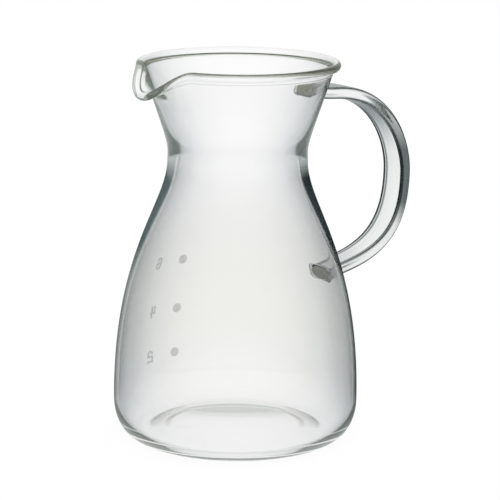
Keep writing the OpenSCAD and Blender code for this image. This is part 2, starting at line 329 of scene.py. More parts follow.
@dataclass(frozen=True)
class ClearBorosilicate:
    """Borosilicate glass, drawn and fire-polished.

    It is clear and hard-edged. Its darkness is painted: painted shade darkens its edges, where the eye looks
    along the wall, and painted reflections and caught light stand in for the dark sides of a room that isn't
    built.
    """

    name: str
    ior: float = 1.47
    roughness: float = 0.0
    body_code: str = "#E0E3E2"
    density: float = 6.0
    # Painted edge shade: the tint of what passes through a face, from where the eye looks straight at it to
    # where it looks along it
    painted_edge_shade_stops: Stops = (
        (0.0, "#FFFFFF"),
        (0.06, "#FEFEFE"),
        (0.17, "#FBFBFB"),
        (0.34, "#F4F5F6"),
        (0.5, "#EAEBEC"),
        (0.72, "#E3E5E6"),
        (0.86, "#C8CCCC"),
        (1.0, "#646A69"),
    )
    # A painted reflection of the room on an outer face, from an upright face to a level one
    painted_reflection_stops: Stops = ((0.0, "#7C8281"), (1.0, "#FFFFFF"))
    # Painted colour of light that is caught inside, from a face that faces down to one that faces up
    painted_caught_light_stops: Stops = (
        (0.0, "#FFFFFF"),
        (0.25, "#F0F1EF"),
        (0.38, "#6E7776"),
        (0.62, "#6A7372"),
        (0.76, "#B6BAB8"),
        (1.0, "#F0F1EF"),
    )
    # Seen from inside, a face catches all light past this share of the way round to edge-on
    critical_share: float = 0.274
    critical_blend: float = 0.024
    second_catch: float = 0.15
    # From far_from to far_to crossings of the glass, the painted shade on its edges falls to far_depth
    far_from: float = 3.0
    far_to: float = 5.0
    far_depth: float = 0.4
    # How much less painted edge shade a level face takes than an upright one, from 0 for as much to 1 for not
    # at all
    level_ease: float = 1.0
    # Light that was turned this often goes straight on through what is left of the glass, tinted by lost_code
    # as painted shade for the turns that it skips
    last_turn: float = 7.0
    lost_code: str = "#D6D8D6"
    shadow_code: str = "#F1F4F2"

    def depth(self, tree: Tree, facing: Source, level: Source) -> Source:
        """Give how much painted edge shade darkens what passes through a face.

        Args:
            tree: The material's tree.
            facing: 0 where the eye looks straight at the face, and 1 where it looks along it.
            level: 0 for an upright face and 1 for a level one.

        Returns:
            The depth, from 0 to 1.
        """
        # A floor seen at a low angle passes the bright table behind it, so an upright wall takes more painted
        # shade.
        eased = {"To Min": 1.0, "To Max": 1 - self.level_ease}
        upright = add_node(tree, "ShaderNodeMapRange", eased, {"Value": level})
        # Light that has crossed both walls and grazes a third face comes from the bright middle of the room,
        # so the painted edge shade fades.
        crossed = add_node(tree, "ShaderNodeLightPath").outputs["Transmission Depth"]
        fade = {"From Min": self.far_from, "From Max": self.far_to, "To Min": 1.0, "To Max": self.far_depth}
        near = add_node(tree, "ShaderNodeMapRange", fade, {"Value": crossed})
        depth = facing
        for factor in (upright, near):
            depth = add_node(tree, "ShaderNodeMath", links={0: depth, 1: factor}, operation="MULTIPLY")
        return depth

    def tone(self, tree: Tree, depth: Source) -> Source:
        """Give the colour of what passes through a face, with painted edge shade.

        Args:
            tree: The material's tree.
            depth: How much painted shade the face takes, from 0 to 1.

        Returns:
            The colour.
        """
        return add_node(tree, "ShaderNodeValToRGB", links={"Fac": depth}, stops=self.painted_edge_shade_stops)

    def room(self, tree: Tree, level: Source) -> Source:
        """Give the colour of the room as an outer face mirrors it: a painted reflection.

        Args:
            tree: The material's tree.
            level: 0 for an upright face and 1 for a level one.

        Returns:
            The colour.
        """
        return add_node(tree, "ShaderNodeValToRGB", links={"Fac": level}, stops=self.painted_reflection_stops)

    def caught(self, tree: Tree, lean: Source) -> Source:
        """Give the painted colour of light that is caught inside.

        Args:
            tree: The material's tree.
            lean: How the face that catches it leans, from 0 where it faces down to 1 where it faces up.

        Returns:
            The colour.
        """
        return add_node(tree, "ShaderNodeValToRGB", links={"Fac": lean}, stops=self.painted_caught_light_stops)

    def mirror(self, tree: Tree, normal_z: Source, level: Source, facing: Source) -> Source:
        """Give the painted colour of what a face mirrors, outside and inside.

        Args:
            tree: The material's tree.
            normal_z: The upward part of the face's direction, turned to the eye.
            level: 0 for an upright face and 1 for a level one.
            facing: 0 where the eye looks straight at the face, and 1 where it looks along it.

        Returns:
            The colour.
        """
        # Inside, the face that is seen turns its back, so one that looks up to the eye faces down.
        lean = add_node(tree, "ShaderNodeMapRange", {"From Min": 1.0, "From Max": -1.0}, {"Value": normal_z})
        span = self.critical_blend / 2
        round_to = {"From Min": self.critical_share - span, "From Max": self.critical_share + span}
        past = add_node(tree, "ShaderNodeMapRange", round_to, {"Value": facing})
        caught = {SHARE: past, AT_1: self.caught(tree, lean)}
        inner = add_node(tree, "ShaderNodeMix", {AT_0: WHITE}, caught, **BLEND)
        inside = add_node(tree, "ShaderNodeNewGeometry").outputs["Backfacing"]
        faces = {SHARE: inside, AT_0: self.room(tree, level), AT_1: inner}
        mirror = add_node(tree, "ShaderNodeMix", links=faces, **BLEND)
        # Light that is mirrored twice comes from the same dark side, so only the first painted reflection
        # counts in full.
        again = add_node(tree, "ShaderNodeLightPath").outputs["Glossy Depth"]
        fall = {"To Min": 1.0, "To Max": self.second_catch}
        first = add_node(tree, "ShaderNodeMapRange", fall, {"Value": again})
        return add_node(tree, "ShaderNodeMix", {AT_0: WHITE}, {SHARE: first, AT_1: mirror}, **BLEND)

    def material(self) -> bpy.types.Material:
        """Build the glass.

        Returns:
            A material whose surface refracts, whose edges are darkened by painted shade, whose reflections
            are painted and whose body absorbs a little.
        """
        material, tree = blank_material(self.name)
        direction = add_node(tree, "ShaderNodeNewGeometry").outputs["Normal"]
        normal_z = add_node(tree, "ShaderNodeSeparateXYZ", links={0: direction}).outputs["Z"]
        facing = add_node(tree, "ShaderNodeLayerWeight").outputs["Facing"]
        level = add_node(tree, "ShaderNodeMath", links={0: normal_z, 1: normal_z}, operation="MULTIPLY")
        through = add_node(
            tree,
            "ShaderNodeBsdfRefraction",
            {"Roughness": self.roughness, "IOR": self.ior},
            {"Color": self.tone(tree, self.depth(tree, facing, level))},
        )
        gloss = add_node(
            tree,
            "ShaderNodeBsdfAnisotropic",
            {"Roughness": self.roughness},
            {"Color": self.mirror(tree, normal_z, level, facing)},
        )
        mirrored = add_node(tree, "ShaderNodeFresnel", {"IOR": self.ior})
        glass = add_node(tree, "ShaderNodeMixShader", links={0: mirrored, 1: through, 2: gloss})
        path = add_node(tree, "ShaderNodeLightPath").outputs
        shadow = path["Is Shadow Ray"]
        turns = {"From Min": self.last_turn - 1, "From Max": self.last_turn}
        lost = add_node(tree, "ShaderNodeMapRange", turns, {"Value": path["Ray Depth"]})
        straight = add_node(tree, "ShaderNodeMath", links={0: shadow, 1: lost}, operation="MAXIMUM")
        codes = {AT_0: linear(self.lost_code), AT_1: linear(self.shadow_code)}
        passed = add_node(tree, "ShaderNodeMix", codes, {SHARE: shadow}, **BLEND)
        clear = add_node(tree, "ShaderNodeBsdfTransparent", links={"Color": passed})
        surface = add_node(tree, "ShaderNodeMixShader", links={0: straight, 1: glass, 2: clear})
        absorbed = {"Color": linear(self.body_code), "Density": self.density}
        body = add_node(tree, "ShaderNodeVolumeAbsorption", absorbed)
        add_node(tree, "ShaderNodeOutputMaterial", links={"Surface": surface, "Volume": body})
        return material


@dataclass(frozen=True)
class DrawnBorosilicate(ClearBorosilicate):
    """The same glass, drawn to a rod, with a darker painted reflection of the room and deeper painted shade
    along its edges.
    """

    # Painted reflection and painted edge shade, darker than the vessel's
    painted_reflection_stops: Stops = ((0.0, "#3A4244"), (0.5, "#5C6466"), (1.0, "#D8DADA"))
    painted_edge_shade_stops: Stops = (
        (0.0, "#FFFFFF"),
        (0.46, "#F4F5F5"),
        (0.6, "#B8BEBF"),
        (0.8, "#4C5456"),
        (1.0, "#1C2426"),
    )
    second_catch: float = 0.5
    level_ease: float = 0.2
    # Painted shade: what the rod lets through in the middle of a rounded corner
    painted_corner_shade_code: str = "#707A7C"

    def tone(self, tree: Tree, depth: Source) -> Source:
        """Give the colour of what passes through a face, with painted shade at the rod's rounded corners.

        Args:
            tree: The material's tree.
            depth: How much painted shade the face takes, from 0 to 1.

        Returns:
            The colour.
        """
        corner = add_node(tree, "ShaderNodeAttribute", attribute_name=CORNER_SHARE).outputs["Fac"]
        sources = {SHARE: corner, AT_0: super().tone(tree, depth)}
        return add_node(tree, "ShaderNodeMix", {AT_1: linear(self.painted_corner_shade_code)}, sources, **TINT)


@dataclass(frozen=True)
class FusedBorosilicate(ClearBorosilicate):
    """The same glass, gathered soft between rod and wall, with a paler painted reflection and paler painted
    caught light, as it spreads light too much to stay dark.
    """

    painted_reflection_stops: Stops = ((0.0, "#B4BAB6"), (1.0, "#FFFFFF"))
    painted_caught_light_stops: Stops = (
        (0.0, "#FFFFFF"),
        (0.25, "#F6F7F4"),
        (0.38, "#B6BCB6"),
        (0.62, "#B2B8B2"),
        (0.76, "#D6D9D4"),
        (1.0, "#FAFAF6"),
    )
    last_turn: float = 5.0


@dataclass(frozen=True)
class BlownBorosilicate(ClearBorosilicate):
    """The same glass, blown to a vessel.

    Its belly is thin and is tinted a faint painted grey. Its waist and neck, which the melt was drawn out to,
    stay bright in the middle and take painted shade at their edges; its painted reflections and caught light
    are darker below the waist and on the side towards the dark end of the room.
    """

    top_h: float = 180.0
    # A nearly white painted reflection, before it is tinted by the height and the side
    painted_reflection_stops: Stops = ((0.0, "#F8FAF9"), (1.0, "#FFFFFF"))
    # Painted reflection of the outside, by share of the height: dark below the waist, pale in the neck and at
    # the foot
    painted_reflection_height_stops: Stops = (
        (0.0, "#FFFFFF"),
        (0.05, "#C4C8C6"),
        (0.13, "#7C8281"),
        (0.44, "#767C7C"),
        (0.52, "#4A5254"),
        (0.7, "#4A5254"),
        (0.75, "#F4FAFA"),
        (0.83, "#E6EBEA"),
        (0.92, "#B4BAB6"),
        (1.0, "#C8CBC4"),
    )
    # The same painted reflection on the side that looks to the dark end of the room
    painted_dark_side_reflection_stops: Stops = (
        (0.0, "#FFFFFF"),
        (0.05, "#A0A4A4"),
        (0.13, "#4C5052"),
        (0.44, "#44484A"),
        (0.52, "#1E2224"),
        (0.7, "#1E2224"),
        (0.75, "#E6ECEE"),
        (0.83, "#D4DADA"),
        (0.92, "#9AA09C"),
        (1.0, "#B4B8B0"),
    )
    # Painted light caught inside, before it is tinted by the height and the side
    painted_caught_light_stops: Stops = (
        (0.0, "#FFFFFF"),
        (0.3, "#E4E6E4"),
        (0.42, "#C6CAC8"),
        (0.58, "#C2C6C4"),
        (0.75, "#DCDEDC"),
        (0.9, "#FFFFFF"),
        (1.0, "#FFFFFF"),
    )
    # Painted light and shade on what passes through the wall, by share of the height
    painted_height_shade_stops: Stops = (
        (0.0, "#FFFFFF"),
        (0.11, "#FFFFFF"),
        (0.24, "#FDFDFC"),
        (0.5, "#FDFDFC"),
        (0.66, "#FFFFFF"),
        (1.0, "#FFFFFF"),
    )
    # Painted light that the wall catches inside, by share of the height: darkest below the waist
    painted_caught_light_height_stops: Stops = (
        (0.0, "#FFFFFF"),
        (0.06, "#FFFFFF"),
        (0.11, "#D2D5D3"),
        (0.42, "#CCD0CE"),
        (0.52, "#7C8A8A"),
        (0.68, "#7C8A8B"),
        (0.75, "#FFFFFF"),
        (0.83, "#F6FAF8"),
        (0.9, "#C4CAC6"),
        (0.95, "#D2D5CE"),
        (1.0, "#C8CBC2"),
    )
    # The same painted caught light on the side that looks to the dark end of the room
    painted_dark_side_caught_stops: Stops = (
        (0.0, "#FFFFFF"),
        (0.06, "#FFFFFF"),
        (0.11, "#C4C7C6"),
        (0.42, "#BEC2C1"),
        (0.52, "#3C4648"),
        (0.7, "#3C4648"),
        (0.75, "#FAFFFE"),
        (0.83, "#ECF1EF"),
        (0.9, "#ACB4B0"),
        (0.95, "#BEC2BA"),
        (1.0, "#B4B8AE"),
    )
    # The side of the vessel that faces this azimuth is painted darker, as if the dark end of the room stood
    # there
    painted_dark_side_azimuth: float = -34.0
    # A face begins to take the painted dark side's tones where the cosine of its angle to the dark end passes
    # this
    painted_dark_side_from: float = 0.3
    painted_dark_side_depth: float = 1.12
    # The painted edge shade is deepened in the neck and lessened towards the heel
    neck_from_h: float = 95.0
    neck_to_h: float = 125.0
    neck_depth: float = 1.02
    heel_to_h: float = 24.0
    heel_depth: float = 0.7
    # Painted shade rings on the step where the bottom's outer face rises from the ring that it stands on, as
    # shares of bottom_r
    painted_step_shade_stops: Stops = (
        (0.0, "#FFFFFF"),
        (0.5, "#FFFFFF"),
        (0.54, "#989792"),
        (0.57, "#ECEBE8"),
        (0.64, "#B8B7B4"),
        (0.665, "#5C5B56"),
        (0.69, "#FFFFFF"),
    )
    bottom_r: float = 60.0
    # The outer face reaches up to twice this height
    step_h: float = 1.3
    # Only the half of the step that lies towards this azimuth takes the painted shade of the room's dark side
    step_azimuth: float = 56.0
    step_fade: float = 10.0

    def height(self, tree: Tree) -> Source:
        """Give the height on the vessel."""
        place = add_node(tree, "ShaderNodeTexCoord").outputs["Object"]
        return add_node(tree, "ShaderNodeSeparateXYZ", links={0: place}).outputs["Z"]

    def towards(self, tree: Tree, arrow: Source, azimuth: float) -> Source:
        """Give how far an arrow points to an azimuth.

        Args:
            tree: The material's tree.
            arrow: The arrow, from the origin.
            azimuth: The azimuth in degrees.

        Returns:
            The arrow's length along the azimuth.
        """
        turn = math.radians(azimuth)
        aim = {1: (math.cos(turn), math.sin(turn), 0.0)}
        return add_node(tree, "ShaderNodeVectorMath", aim, {0: arrow}, operation="DOT_PRODUCT")

    def by_height(self, tree: Tree, colour: Source, stops: Stops) -> Source:
        """Tint a colour by the height on the vessel.

        Args:
            tree: The material's tree.
            colour: The colour to tint.
            stops: The tint, by share of the vessel's height.

        Returns:
            The tinted colour.
        """
        top = {"From Max": self.top_h * MM}
        share = add_node(tree, "ShaderNodeMapRange", top, {"Value": self.height(tree)})
        tint = add_node(tree, "ShaderNodeValToRGB", links={"Fac": share}, stops=stops)
        return add_node(tree, "ShaderNodeMix", {SHARE: 1.0}, {AT_0: colour, AT_1: tint}, **TINT)

    def by_side(self, tree: Tree, bright: float, dark: float) -> Source:
        """Give a number that differs between faces towards the bright part of the room and those towards its
        dark end, for the painted darker side.

        Args:
            tree: The material's tree.
            bright: The number for a face that looks to the bright side or to the middle.
            dark: The number for a face that looks to the dark end.

        Returns:
            The number for the face that is hit.
        """
        direction = add_node(tree, "ShaderNodeNewGeometry").outputs["Normal"]
        side = self.towards(tree, direction, self.painted_dark_side_azimuth)
        span = {"From Min": self.painted_dark_side_from, "To Min": bright, "To Max": dark}
        return add_node(tree, "ShaderNodeMapRange", span, {"Value": side})

    def placed(self, tree: Tree, colour: Source, stops: Stops, dark_stops: Stops) -> Source:
        """Tint a colour with painted light and shade by the height and by the side of the vessel.

        Args:
            tree: The material's tree.
            colour: The colour to tint.
            stops: The tint by share of the height on the bright side.
            dark_stops: The tint by share of the height on the dark side.

        Returns:
            The tinted colour.
        """
        sources = {
            SHARE: self.by_side(tree, 0.0, 1.0),
            AT_0: self.by_height(tree, colour, stops),
            AT_1: self.by_height(tree, colour, dark_stops),
        }
        return add_node(tree, "ShaderNodeMix", links=sources, **BLEND)

    def room(self, tree: Tree, level: Source) -> Source:
        """Give the painted reflection of the room on an outer face at its place."""
        return self.placed(tree, super().room(tree, level), self.painted_reflection_height_stops, self.painted_dark_side_reflection_stops)

    def caught(self, tree: Tree, lean: Source) -> Source:
        """Give the painted colour of light that is caught inside, darker below the waist and towards the dark
        end.
        """
        return self.placed(tree, super().caught(tree, lean), self.painted_caught_light_height_stops, self.painted_dark_side_caught_stops)

    def tone(self, tree: Tree, depth: Source) -> Source:
        """Give the colour of what passes through a face at its place on the vessel, with painted shade.

        Args:
            tree: The material's tree.
            depth: How much painted shade the face takes, from 0 to 1.

        Returns:
            The colour.
        """
        neck_span = {"From Min": self.neck_from_h * MM, "From Max": self.neck_to_h * MM}
        neck_gain = {"To Min": 1.0, "To Max": self.neck_depth}
        neck = add_node(tree, "ShaderNodeMapRange", neck_span | neck_gain, {"Value": self.height(tree)})
        heel_span = {"From Max": self.heel_to_h * MM, "To Min": self.heel_depth, "To Max": 1.0}
        heel = add_node(tree, "ShaderNodeMapRange", heel_span, {"Value": self.height(tree)})
        deeper: Source = neck
        for factor in (self.by_side(tree, 1.0, self.painted_dark_side_depth), heel, depth):
            deeper = add_node(tree, "ShaderNodeMath", links={0: deeper, 1: factor}, operation="MULTIPLY")
        return self.painted_step_shade(tree, self.by_height(tree, super().tone(tree, deeper), self.painted_height_shade_stops))

    def painted_step_shade(self, tree: Tree, colour: Source) -> Source:
        """Tint a colour with painted shade rings on the step of the bottom's outer face.

        Args:
            tree: The material's tree.
            colour: The colour to tint.

        Returns:
            The tinted colour.
        """
        place = add_node(tree, "ShaderNodeTexCoord").outputs["Object"]
        ground = {1: (1.0, 1.0, 0.0)}
        flat = add_node(tree, "ShaderNodeVectorMath", ground, {0: place}, operation="MULTIPLY")
        out = add_node(tree, "ShaderNodeVectorMath", links={0: flat}, operation="LENGTH")
        share = add_node(tree, "ShaderNodeMapRange", {"From Max": self.bottom_r * MM}, {"Value": out})
        rings = add_node(tree, "ShaderNodeValToRGB", links={"Fac": share}, stops=self.painted_step_shade_stops)
        low = {1: self.step_h * MM, 2: self.step_h * MM}
        outer = add_node(tree, "ShaderNodeMath", low, {0: self.height(tree)}, operation="COMPARE")
        away = self.towards(tree, place, self.step_azimuth)
        fade = {"From Min": -self.step_fade * MM, "From Max": self.step_fade * MM}
        half = add_node(tree, "ShaderNodeMapRange", fade, {"Value": away})
        caught = add_node(tree, "ShaderNodeMath", links={0: outer, 1: half}, operation="MULTIPLY")
        return add_node(tree, "ShaderNodeMix", links={SHARE: caught, AT_0: colour, AT_1: rings}, **TINT)


@dataclass(frozen=True)
class FiredEnamel:
    """Ceramic enamel, screen printed and fired on.

    It lies on the glass as a thin satin film, a little uneven from the screen's mesh.
    """

    name: str = "fired_enamel"
    pale_code: str = "#F6F6F6"
    deep_code: str = "#EAEAEA"
    roughness: float = 0.38
    mesh_pitch: float = 0.35
    mesh_depth: float = 0.012
    grain_detail: float = 2.0
    grain_strength: float = 0.5
    # The film's tone changes over a few meshes of the screen.
    cloud_meshes: float = 4.0
    cloud_detail: float = 3.0
    deep_share: float = 0.35
    pale_share: float = 0.65
    # The film is thin enough to pass most of the light behind it.
    let_through: float = 0.9

    def material(self) -> bpy.types.Material:
        """Build the enamel.

        Returns:
            A material with a cloudy tone and the faint grain of the screen.
        """
        material, tree = blank_material(self.name)
        place = {"Vector": add_node(tree, "ShaderNodeTexCoord").outputs["Object"]}
        clouds = {"Scale": 1 / (self.cloud_meshes * self.mesh_pitch * MM), "Detail": self.cloud_detail}
        cloud = add_node(tree, "ShaderNodeTexNoise", clouds, place)
        tones = ((self.deep_share, self.deep_code), (self.pale_share, self.pale_code))
        tone = add_node(tree, "ShaderNodeValToRGB", links={"Fac": cloud}, stops=tones)
        grains = {"Scale": 1 / (self.mesh_pitch * MM), "Detail": self.grain_detail}
        grain = add_node(tree, "ShaderNodeTexNoise", grains, place)
        depths = {"Strength": self.grain_strength, "Distance": self.mesh_depth * MM}
        relief = add_node(tree, "ShaderNodeBump", depths, {"Height": grain})
        sources = {"Base Color": tone, "Normal": relief}
        film = add_node(tree, "ShaderNodeBsdfPrincipled", {"Roughness": self.roughness}, sources)
        glow = add_node(tree, "ShaderNodeBsdfTranslucent", links={"Color": tone})
        surface = add_node(tree, "ShaderNodeMixShader", {0: self.let_through}, {1: film, 2: glow})
        add_node(tree, "ShaderNodeOutputMaterial", links={"Surface": surface})
        return material


@dataclass(frozen=True)
class FusedSeam:
    """The face at which two pieces of glass were melted together, clouded by fine bubbles."""

    name: str
    cloud_code: str = "#DADDC8"
    bubble_code: str = "#FFFFF6"
    shade_code: str = "#A6A992"
    # Where the shade ends, the cloud begins and ends, and the bubbles begin, by the strength of the cloud
    tone_shares: tuple[float, ...] = (0.34, 0.44, 0.6, 0.68)
    cloud_pitch: float = 1.6
    cloud_detail: float = 2.0
    let_through: float = 0.6

    def material(self) -> bpy.types.Material:
        """Build the seam.

        Returns:
            A material that is cloudy and flecked, and lit from behind as well as from the front.
        """
        material, tree = blank_material(self.name)
        place = add_node(tree, "ShaderNodeTexCoord").outputs["Object"]
        clouds = {"Scale": 1 / (self.cloud_pitch * MM), "Detail": self.cloud_detail}
        cloud = add_node(tree, "ShaderNodeTexNoise", clouds, {"Vector": place})
        codes = (self.shade_code, self.cloud_code, self.cloud_code, self.bubble_code)
        stops = tuple(zip(self.tone_shares, codes))
        tone = add_node(tree, "ShaderNodeValToRGB", links={"Fac": cloud}, stops=stops)
        front = add_node(tree, "ShaderNodeBsdfDiffuse", links={"Color": tone})
        back = add_node(tree, "ShaderNodeBsdfTranslucent", links={"Color": tone})
        surface = add_node(tree, "ShaderNodeMixShader", {0: self.let_through}, {1: front, 2: back})
        add_node(tree, "ShaderNodeOutputMaterial", links={"Surface": surface})
        return material


@dataclass
class Vessel:
    """The blown vessel: foot, belly, waist, flared neck, rolled lip and pulled spout."""

    finish: BlownBorosilicate

    foot_d: float = 90.6
    foot_land_w: float = 2.4
    foot_rise: float = 2.6
    heel_t: float = 3.6
    wall_t: float = 1.9
    waist_t: float = 4.4
    neck_top_t: float = 1.8
    bottom_t: float = 3.0
    belly_d: float = 116.2
    belly_h: float = 18.4
    waist_d: float = 66.0
    waist_h: float = 132.6
    neck_top_d: float = 89.6
    neck_flare: float = 18.6
    neck_top_drop: float = 3.6
    overall_h: float = 180.0
    lip_d: float = 95.4
    lip_bead_d: float = 3.8
    # The lip is rolled from its underside, over its top, to its inner face
    lip_from: float = -90.0
    lip_turn: float = 270.0
    spout_azimuth: float = 180.0
    spout_reach: float = 5.8
    spout_dip: float = 9.0
    spout_half_angle: float = 30.0
    spout_root_drop: float = 18.0

    heel_foot_share: float = 0.63
    heel_belly_share: float = 0.56
    flank_belly_share: float = 0.623
    flank_waist_share: float = 0.183
    neck_waist_share: float = 0.22
    neck_lip_share: float = 0.96
    spout_out_power: float = 1.6
    spout_down_power: float = 1.5
    dome_power: int = 2
    floor_power: int = 3

    turn_steps: int = 288
    heel_steps: int = 26
    flank_steps: int = 60
    neck_steps: int = 44
    lip_steps: int = 22
    bottom_steps: int = 18
    # The wall is listed this many times finer where other pieces are seated on it
    seat_fineness: int = 2

    # Blown glass isn't quite even: its inner face swells and thins by a few hundredths over centimetres.
    ripple_depth: float = 0.035
    ripple_length: float = 22.0
    # The melt runs down as it is blown, so the unevenness is drawn out along the height.
    ripple_height_share: float = 0.45
    # It fades out over the middle of the floor, within this share of the foot's diameter.
    ripple_fade_share: float = 0.25

    def __post_init__(self) -> None:
        """Work out the three stretches of the outer wall."""
        foot_r, belly_r, waist_r = self.foot_d / 2, self.belly_d / 2, self.waist_d / 2
        neck_top = (self.neck_top_d / 2, self.overall_h - self.neck_top_drop)
        heel_run = belly_r - foot_r
        flank_rise = self.waist_h - self.belly_h
        neck_rise = neck_top[1] - self.waist_h
        flare = math.radians(self.neck_flare)
        self.neck_end_way = (math.sin(flare), math.cos(flare))
        self.heel = Stretch(
            (foot_r, 0),
            (foot_r + self.heel_foot_share * heel_run, 0),
            (belly_r, self.belly_h * (1 - self.heel_belly_share)),
            (belly_r, self.belly_h),
        )
        self.flank = Stretch(
            (belly_r, self.belly_h),
            (belly_r, self.belly_h + self.flank_belly_share * flank_rise),
            (waist_r, self.waist_h - self.flank_waist_share * flank_rise),
            (waist_r, self.waist_h),
        )
        lead = self.neck_lip_share * neck_rise
        self.neck = Stretch(
            (waist_r, self.waist_h),
            (waist_r, self.waist_h + self.neck_waist_share * neck_rise),
            (neck_top[0] - lead * self.neck_end_way[0], neck_top[1] - lead * self.neck_end_way[1]),
            neck_top,
        )

    def wall_at(self, height: float, off: float = 0.0) -> Point:
        """Find the outer wall at a height, away from the spout.

        Args:
            height: The height of the point on the wall before it is moved.
            off: How far it is moved outward, square to the wall.

        Returns:
            The distance from the axis and the height.
        """
        stretch = self.heel if height < self.belly_h else self.flank if height < self.waist_h else self.neck
        t = stretch.share_at(height)
        before, after = stretch.point(max(t - NEAR_SHARE, 0.0)), stretch.point(min(t + NEAR_SHARE, 1.0))
        return moved_right([stretch.point(t)], headings([before, after])[:1], off)[0]

    def grown_wall(self, off: float) -> list[Point]:
        """List the outer wall from foot to neck, away from the spout.

        Args:
            off: How far the wall is grown outward.

        Returns:
            The points of the grown wall, from the foot up.
        """
        wall = self.heel.points(self.heel_steps)
        for stretch, steps in ((self.flank, self.flank_steps), (self.neck, self.neck_steps)):
            wall += stretch.points(self.seat_fineness * steps)[1:]
        return moved_right(wall, headings(wall, self.neck_end_way), off)

    def pull_share(self, angle: float) -> float:
        """Give the spout's share of its full pull.

        Args:
            angle: The angle in degrees from the spout's middle.

        Returns:
            The share, from 0 beside the spout to 1 in its middle.
        """
        angle = (angle + 180) % 360 - 180
        if abs(angle) >= self.spout_half_angle:
            return 0.0
        return (1 + math.cos(math.pi * angle / self.spout_half_angle)) / 2

    def pulled(self, point: Point, share: float) -> Point:
        """Move a point of the neck as the spout's pull does.

        Args:
            point: The point before the pull.
            share: The spout's share of its full pull.

        Returns:
            The point after the pull.
        """
        root = self.overall_h - self.spout_root_drop
        rise = min(max((point[1] - root) / (self.neck.end[1] - root), 0.0), 1.0)
        return (
            point[0] + share * self.spout_reach * rise**self.spout_out_power,
            point[1] - share * self.spout_dip * rise**self.spout_down_power,
        )

    def neck_end(self, share: float) -> Point:
        """Give the direction of the pulled neck where the lip is rolled on.

        Args:
            share: The spout's share of its full pull.

        Returns:
            The unit direction.
        """
        root = self.overall_h - self.spout_root_drop
        length = (self.neck.end[1] - root) / self.neck_end_way[1]
        run = length * self.neck_end_way[0] + share * self.spout_reach * self.spout_out_power
        rise = length * self.neck_end_way[1] - share * self.spout_dip * self.spout_down_power
        size = math.hypot(run, rise)
        return (run / size, rise / size)

    def lip(self, end: Point, way: Point) -> list[Point]:
        """Roll the lip on at the neck's end.

        Args:
            end: Where the neck's outside ends.
            way: The neck's direction there.

        Returns:
            Points from the lip's underside, over its top, to its inner face.
        """
        right = (way[1], -way[0])
        bead_r = self.lip_bead_d / 2
        shift = (self.lip_d / 2 - bead_r - self.neck.end[0], self.overall_h - bead_r - self.neck.end[1])
        base_way = self.neck_end_way
        ahead = shift[0] * base_way[0] + shift[1] * base_way[1]
        out = shift[0] * base_way[1] - shift[1] * base_way[0]
        middle = [end[i] + ahead * way[i] + out * right[i] for i in (0, 1)]
        points = []
        for i in range(self.lip_steps + 1):
            angle = math.radians(self.lip_from + self.lip_turn * i / self.lip_steps)
            across, up = math.cos(angle), math.sin(angle)
            points.append(tuple(middle[k] + bead_r * (across * right[k] + up * way[k]) for k in (0, 1)))
        return points

    def underside(self) -> list[Point]:
        """List the domed underside.

        Returns:
            Points from its middle to the ring that the vessel stands on.
        """
        land_in_r = self.foot_d / 2 - self.foot_land_w
        radii = [land_in_r * i / self.bottom_steps for i in range(self.bottom_steps + 1)]
        return [(r, self.foot_rise * (1 - (r / land_in_r) ** self.dome_power)) for r in radii]

    def floor(self) -> list[Point]:
        """List the inner face of the bottom.

        Returns:
            Points from beside the heel to its middle.
        """
        inner_r, middle_h = self.foot_d / 2, self.foot_rise + self.bottom_t
        radii = [inner_r * i / self.bottom_steps for i in range(self.bottom_steps - 1, -1, -1)]
        return [(r, middle_h - (middle_h - self.heel_t) * (r / inner_r) ** self.floor_power) for r in radii]

    def outside(self, share: float) -> list[Point]:
        """List the outer wall from the foot to the lip's underside.

        Args:
            share: The spout's share of its full pull.

        Returns:
            The points of the wall.
        """
        wall = self.heel.points(self.heel_steps) + self.flank.points(self.flank_steps)[1:]
        return wall + [self.pulled(p, share) for p in self.neck.points(self.neck_steps)[1:]]

    def thicknesses(self) -> list[float]:
        """List the wall's thickness at each point of its outside, thicker where the melt was stretched less.

        Returns:
            The thicknesses, from the foot up.
        """
        ends = (
            (self.heel_t, self.wall_t, self.heel_steps),
            (self.wall_t, self.waist_t, self.flank_steps),
            (self.waist_t, self.neck_top_t, self.neck_steps),
        )
        listed = [self.heel_t]
        for first, last, steps in ends:
            listed += [first + (last - first) * ease(i / steps) for i in range(1, steps + 1)]
        return listed

    def section(self, share: float) -> tuple[list[Point], list[Point]]:
        """List the half section where the spout has a share of its full pull.

        Args:
            share: The spout's pull, from 0 to 1.

        Returns:
            The points of its outer face, from the middle of the underside to the lip's inner face, and
            those of its inner face, from the lip down to the middle of the floor.
        """
        outside, end_way = self.outside(share), self.neck_end(share)
        ways = headings(outside, end_way)
        inside = [moved_right([p], [w], -t)[0] for p, w, t in zip(outside, ways, self.thicknesses())]
        return self.underside() + outside + self.lip(outside[-1], end_way), inside[::-1] + self.floor()

    def rippled(self, place: Place) -> Place:
        """Move a place of the inner face by the unevenness of blown glass.

        Args:
            place: The place on an even wall.

        Returns:
            The place on the uneven wall.
        """
        x, y, z = place
        radius = math.hypot(x, y)
        seed = Vector((x, y, z * self.ripple_height_share)) / self.ripple_length
        swell = self.ripple_depth * noise.noise(seed) * ease(radius / (self.foot_d * self.ripple_fade_share))
        return (x * (1 + swell / max(radius, 1)), y * (1 + swell / max(radius, 1)), z)

    def build(self) -> bpy.types.Object:
        """Build the vessel as one closed skin.

        Returns:
            The vessel, dressed in its finish.
        """
        vertices: list[Place] = []
        even = self.section(0.0)
        for i in range(self.turn_steps):
            angle = 360 * i / self.turn_steps
            turn = math.radians(angle)
            pull = self.pull_share(angle - self.spout_azimuth)
